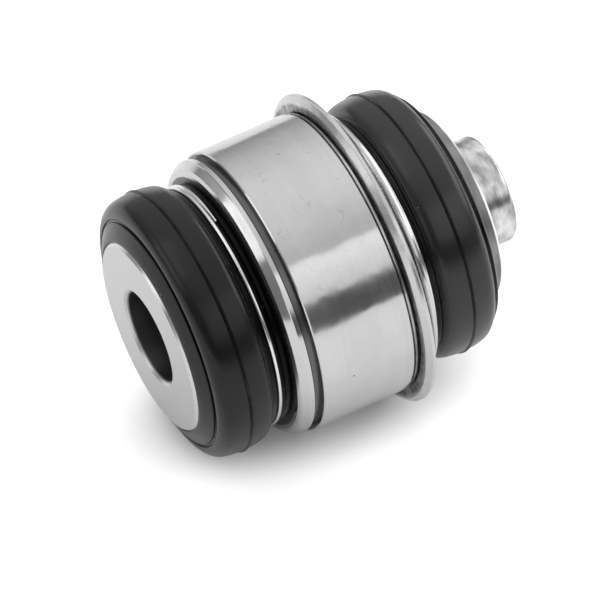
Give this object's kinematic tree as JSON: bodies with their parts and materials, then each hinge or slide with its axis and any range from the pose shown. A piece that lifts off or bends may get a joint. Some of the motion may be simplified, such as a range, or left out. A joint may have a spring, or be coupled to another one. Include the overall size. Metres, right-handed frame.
{
  "type": "ball sleeve bush",
  "caption": "Press-in flanged steel housing around a bored ball sleeve that tilts and turns, sealed at each end by a rubber boot with a wire clamp ring.",
  "frame": {"origin": "centre of the flat face of the lower head, at the mouth of the bore", "axes": "+Z along the bore towards the end with the centring stub; X is the tilt axis"},
  "size_m": [0.042, 0.042, 0.0491],
  "materials": {
    "housing_steel": "ground and turned",
    "sleeve_steel": "satin, turned",
    "shell_plastic": "moulded",
    "boot_rubber": "moulded, faint sheen",
    "ring_wire": "bright drawn wire",
    "lip_ring_steel": "pressed"
  },
  "bodies": {
    "housing": {"housing": "housing_steel", "closing_ring": "housing_steel", "bearing_shell_lower": "shell_plastic", "bearing_shell_upper": "shell_plastic", "boot_lower": "boot_rubber", "boot_upper": "boot_rubber", "clamp_ring_lower": "ring_wire", "clamp_ring_upper": "ring_wire"},
    "lip_rings": {"lip_ring_lower": "lip_ring_steel", "lip_ring_upper": "lip_ring_steel"},
    "ball_sleeve": {"ball_sleeve": "sleeve_steel"}
  },
  "joints": [
    {"name": "tilt", "type": "hinge", "parent": "housing", "child": "lip_rings", "pos_m": [0, 0, 0.0211], "axis": [1, 0, 0], "range_deg": [-12, 12], "deforming": ["boot_lower", "boot_upper"]},
    {"name": "spin", "type": "hinge", "parent": "lip_rings", "child": "ball_sleeve", "pos_m": [0, 0, 0.0211], "axis": [0, 0, 1], "continuous": true}
  ]
}
